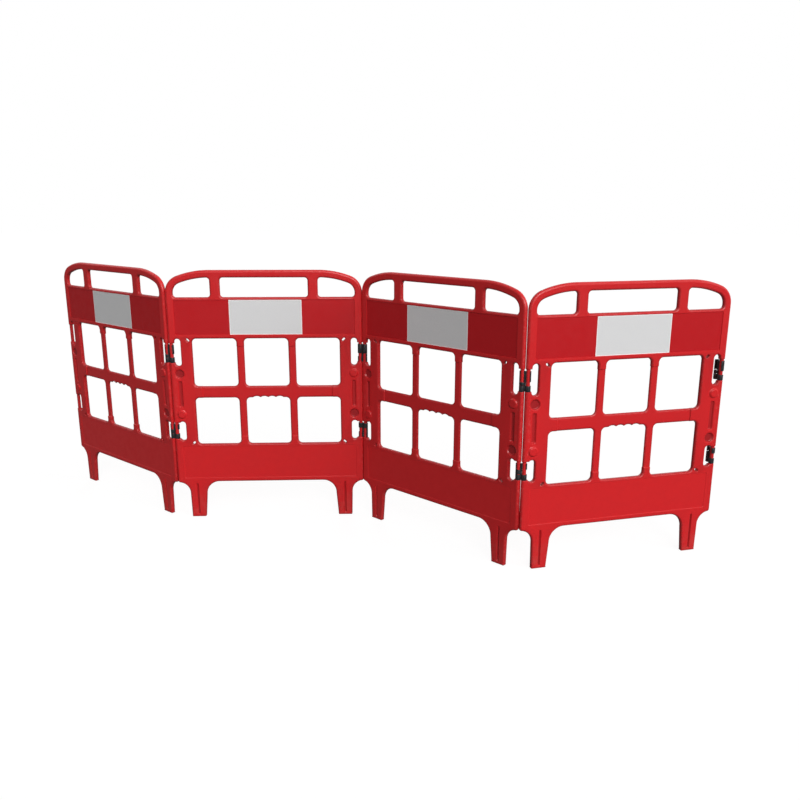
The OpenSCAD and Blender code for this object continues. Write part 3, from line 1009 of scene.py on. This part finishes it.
def reflectiveSheet(name):
    look = sheetFinish
    light, dark, line = look[name]
    material, tree, shader = newMaterial(name + "Sheet", look["ior"])
    cells = useGroup(tree, sheetCells, **look["cells"])
    grain = useGroup(tree, mouldGrain, **look["grain"])
    colour = mixColour(tree, cells["cell"], light, dark)
    colour = mixColour(tree, calc(tree, "MULTIPLY", grain["tone"], look["cloudShare"]), colour, dark)
    colour = mixColour(tree, cells["line"], colour, line)
    if name == "white":
        colour = mixColour(tree, whiteMargin(tree), colour, look["whiteBorder"])
    tree.links.new(colour, shader["Base Color"])
    tree.links.new(ease(tree, grain["tone"], 0.0, 1.0, *look["roughness"]), shader["Roughness"])
    skin = calc(tree, "MULTIPLY", grain["height"], look["grainRise"])
    addBump(tree, shader, calc(tree, "SUBTRACT", skin, cells["line"]), *look["bump"])
    return material


clipFinish = {
    "black": (0.011, 0.011, 0.013, 1),
    "grey": (0.028, 0.028, 0.031, 1),
    "rubbed": (0.11, 0.11, 0.115, 1),
    "ior": 1.49,
    "roughness": (0.34, 0.5),
    "grain": {"grainScale": 1500.0, "waveScale": 40.0},
    "crest": (0.52, 0.62),     # how pointed an edge is before it rubs
    "scuff": {"scale": 190.0, "amount": 0.8},
    "bump": (0.4, 0.0005),
}


def clipPlastic():
    look = clipFinish
    material, tree, shader = newMaterial("clipPlastic", look["ior"])
    grain = useGroup(tree, mouldGrain, **look["grain"])
    pointed = addNode(tree, "ShaderNodeNewGeometry").outputs["Pointiness"]
    scuff = useGroup(tree, edgeScuff, mask=ease(tree, pointed, *look["crest"]), **look["scuff"])["scuff"]
    colour = mixColour(tree, grain["tone"], look["black"], look["grey"])
    colour = mixColour(tree, scuff, colour, look["rubbed"])
    tree.links.new(colour, shader["Base Color"])
    tree.links.new(ease(tree, grain["tone"], 0.0, 1.0, *look["roughness"]), shader["Roughness"])
    addBump(tree, shader, grain["height"], *look["bump"])
    return material


redPlastic = gatePlastic()
blackPlastic = clipPlastic()
whiteFilm = reflectiveSheet("white")
redFilm = reflectiveSheet("red")
print("materials made")

# four gates with their sheets
shell.materials.append(redPlastic)
whiteHalf, sheetGap = sheetShape["whiteHalf"], sheetShape["gap"]
whiteMesh = sheetMesh("whiteSheet", [(-whiteHalf, whiteHalf)])
whiteMesh.materials.append(whiteFilm)
faceTurns = {"front": 0.0, "rear": math.pi}
for number, (place, shift) in enumerate(zip(places, sheetShape["shifts"]), 1):
    body = f"gate_{number}"
    gate = newObject(f"gateShell_{number}", shell, place)
    gate.modifiers.new("evenNormals", "WEIGHTED_NORMAL")
    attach(gate, body)
    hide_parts(f"gate_panel_{number}")
    redLeft = (-sheetReach, shift - whiteHalf - sheetGap)
    redRight = (shift + whiteHalf + sheetGap, sheetReach)
    redMesh = sheetMesh(f"redSheets_{number}", [redLeft, redRight])
    redMesh.materials.append(redFilm)
    for face, turn in faceTurns.items():
        turned = place @ Matrix.Rotation(turn, 4, "Z")
        shifted = turned @ Matrix.Translation((shift * mm, 0, 0))
        white = newObject(f"{face}WhiteSheet_{number}", whiteMesh, shifted)
        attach(white, body)
        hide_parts(f"{face}_white_sheet_{number}")
        red = newObject(f"{face}RedSheets_{number}", redMesh, turned)
        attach(red, body)
        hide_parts(f"{face}_red_sheets_{number}")
print("gates and sheets placed")

# the clips keep their solids and get soft edges
clipEdge = {"weld": 0.02, "width": 0.5, "angle": 35.0, "steps": 2}
for name, node in nodes.items():
    if name.endswith("_end_clip") or "_hinge_clip_" in name:
        for slot in node.material_slots:
            slot.material = blackPlastic
        weld = node.modifiers.new("joinFaces", "WELD")
        weld.merge_threshold = clipEdge["weld"] * mm
        soften = node.modifiers.new("softEdges", "BEVEL")
        soften.width = clipEdge["width"] * mm
        soften.segments = clipEdge["steps"]
        soften.limit_method = "ANGLE"
        soften.angle_limit = math.radians(clipEdge["angle"])
print("clips finished")

# pale floor
floorLook = {
    "size": 60.0,
    "drop": 0.0005,            # keeps it just clear of the feet
    "tone": (0.86, 0.86, 0.86, 1),
    "glow": 0.86,              # share of plain white in what the camera sees of the floor
    "white": 1.08,             # brightness of that white
    "bounce": (0.07, 0.068, 0.068, 1),
    "shine": 0.16,             # brightness of the floor in glossy surfaces
}


def floorMaterial():
    look = floorLook
    material = bpy.data.materials.new("paleFloor")
    material.use_nodes = True
    tree = material.node_tree
    tree.nodes.clear()
    paper = plainShader(tree, "ShaderNodeBsdfDiffuse", Color=look["tone"])
    glow = plainShader(tree, "ShaderNodeEmission", Strength=look["white"])
    bounce = plainShader(tree, "ShaderNodeBsdfDiffuse", Color=look["bounce"])
    shine = plainShader(tree, "ShaderNodeEmission", Strength=look["shine"])
    path = addNode(tree, "ShaderNodeLightPath").outputs
    seen = mixShader(tree, look["glow"], paper, glow)
    unseen = mixShader(tree, path["Is Glossy Ray"], bounce, shine)
    surface = mixShader(tree, path["Is Camera Ray"], unseen, seen)
    tree.links.new(surface, addNode(tree, "ShaderNodeOutputMaterial").inputs["Surface"])
    return material


def floorMesh():
    reach = floorLook["size"] / 2
    corners = [(-reach, -reach, 0), (reach, -reach, 0), (reach, reach, 0), (-reach, reach, 0)]
    mesh = bpy.data.meshes.new("paleFloor")
    mesh.from_pydata(corners, [], [(0, 1, 2, 3)])
    mesh.materials.append(floorMaterial())
    return mesh


newObject("paleFloor", floorMesh(), Matrix.Translation((0, 0, -floorLook["drop"])))

# four soft lights: turn to the right of the camera's line, lift and softness in degrees
sunLights = {
    "key": {"turn": 15.0, "lift": 28.0, "softness": 30.0, "strength": 1.75},
    "side": {"turn": 60.0, "lift": 25.0, "softness": 40.0, "strength": 1.81},
    "fill": {"turn": -40.0, "lift": 10.0, "softness": 60.0, "strength": 0.38},
    "back": {"turn": 185.0, "lift": 8.0, "softness": 30.0, "strength": 2.0},
}


def addSun(name, turn, lift, softness, strength):
    lamp = bpy.data.lights.new(name + "Light", "SUN")
    lamp.energy = strength
    lamp.angle = math.radians(softness)
    sun = bpy.data.objects.new(lamp.name, lamp)
    bpy.context.scene.collection.objects.link(sun)
    around, up = math.radians(turn), math.radians(lift)
    level = math.cos(up)
    towards = Vector((math.sin(around) * level, -math.cos(around) * level, math.sin(up)))
    sun.rotation_euler = towards.to_track_quat("Z", "Y").to_euler()
    sun.visible_glossy = name == "key"     # the others leave no highlights


for name, settings in sunLights.items():
    addSun(name, **settings)

# dim sky
skyLook = {
    "light": (0.16, 0.05),     # what lights dull surfaces, from the horizon to straight overhead
    "shine": (0.36, 1.2),      # what shines in glossy ones, from in front of the object to behind it
    "shade": 0.11,             # and on the dim left side
    "frontBack": (-0.35, 0.6),
    "leftRight": (-0.25, 0.35),
    "lowHigh": (0.1, 0.5),     # the left side is dim only near the horizon
}


def studioSky():
    look = skyLook
    world = bpy.data.worlds.new("studioSky")
    world.use_nodes = True
    tree = world.node_tree
    back = tree.nodes["Background"].inputs
    back["Color"].default_value = (1, 1, 1, 1)
    axes = axesOf(tree, "Generated")
    light = ease(tree, axes["Z"], 0.0, 1.0, *look["light"])
    shine = ease(tree, axes["Y"], *look["frontBack"], *look["shine"])
    rightSide = ease(tree, axes["X"], *look["leftRight"])
    lit = calc(tree, "MAXIMUM", rightSide, ease(tree, axes["Z"], *look["lowHigh"]))
    path = addNode(tree, "ShaderNodeLightPath").outputs
    strength = mixValue(tree, path["Is Glossy Ray"], light, mixValue(tree, lit, look["shade"], shine))
    tree.links.new(mixValue(tree, path["Is Camera Ray"], strength, 1.0), back["Strength"])
    return world


bpy.context.scene.world = studioSky()
bpy.context.scene.view_settings.view_transform = "Standard"

# camera where the picture was taken from
viewPoint = {
    "place": (0.17117, -2.96379, 1.25152),
    "dip": 14.309,             # degrees below level
    "roll": 0.115,
    "lens": 34.648,
    "sensor": 36.0,
}
lens = bpy.data.cameras.new("photoView")
lens.lens = viewPoint["lens"]
lens.sensor_width = viewPoint["sensor"]
camera = bpy.data.objects.new("photoView", lens)
bpy.context.scene.collection.objects.link(camera)
tilt = Matrix.Rotation(math.radians(90 - viewPoint["dip"]), 4, "X")
lean = Matrix.Rotation(math.radians(viewPoint["roll"]), 4, "Z")
camera.matrix_world = Matrix.Translation(viewPoint["place"]) @ tilt @ lean
bpy.context.scene.camera = camera
print("studio and camera set")
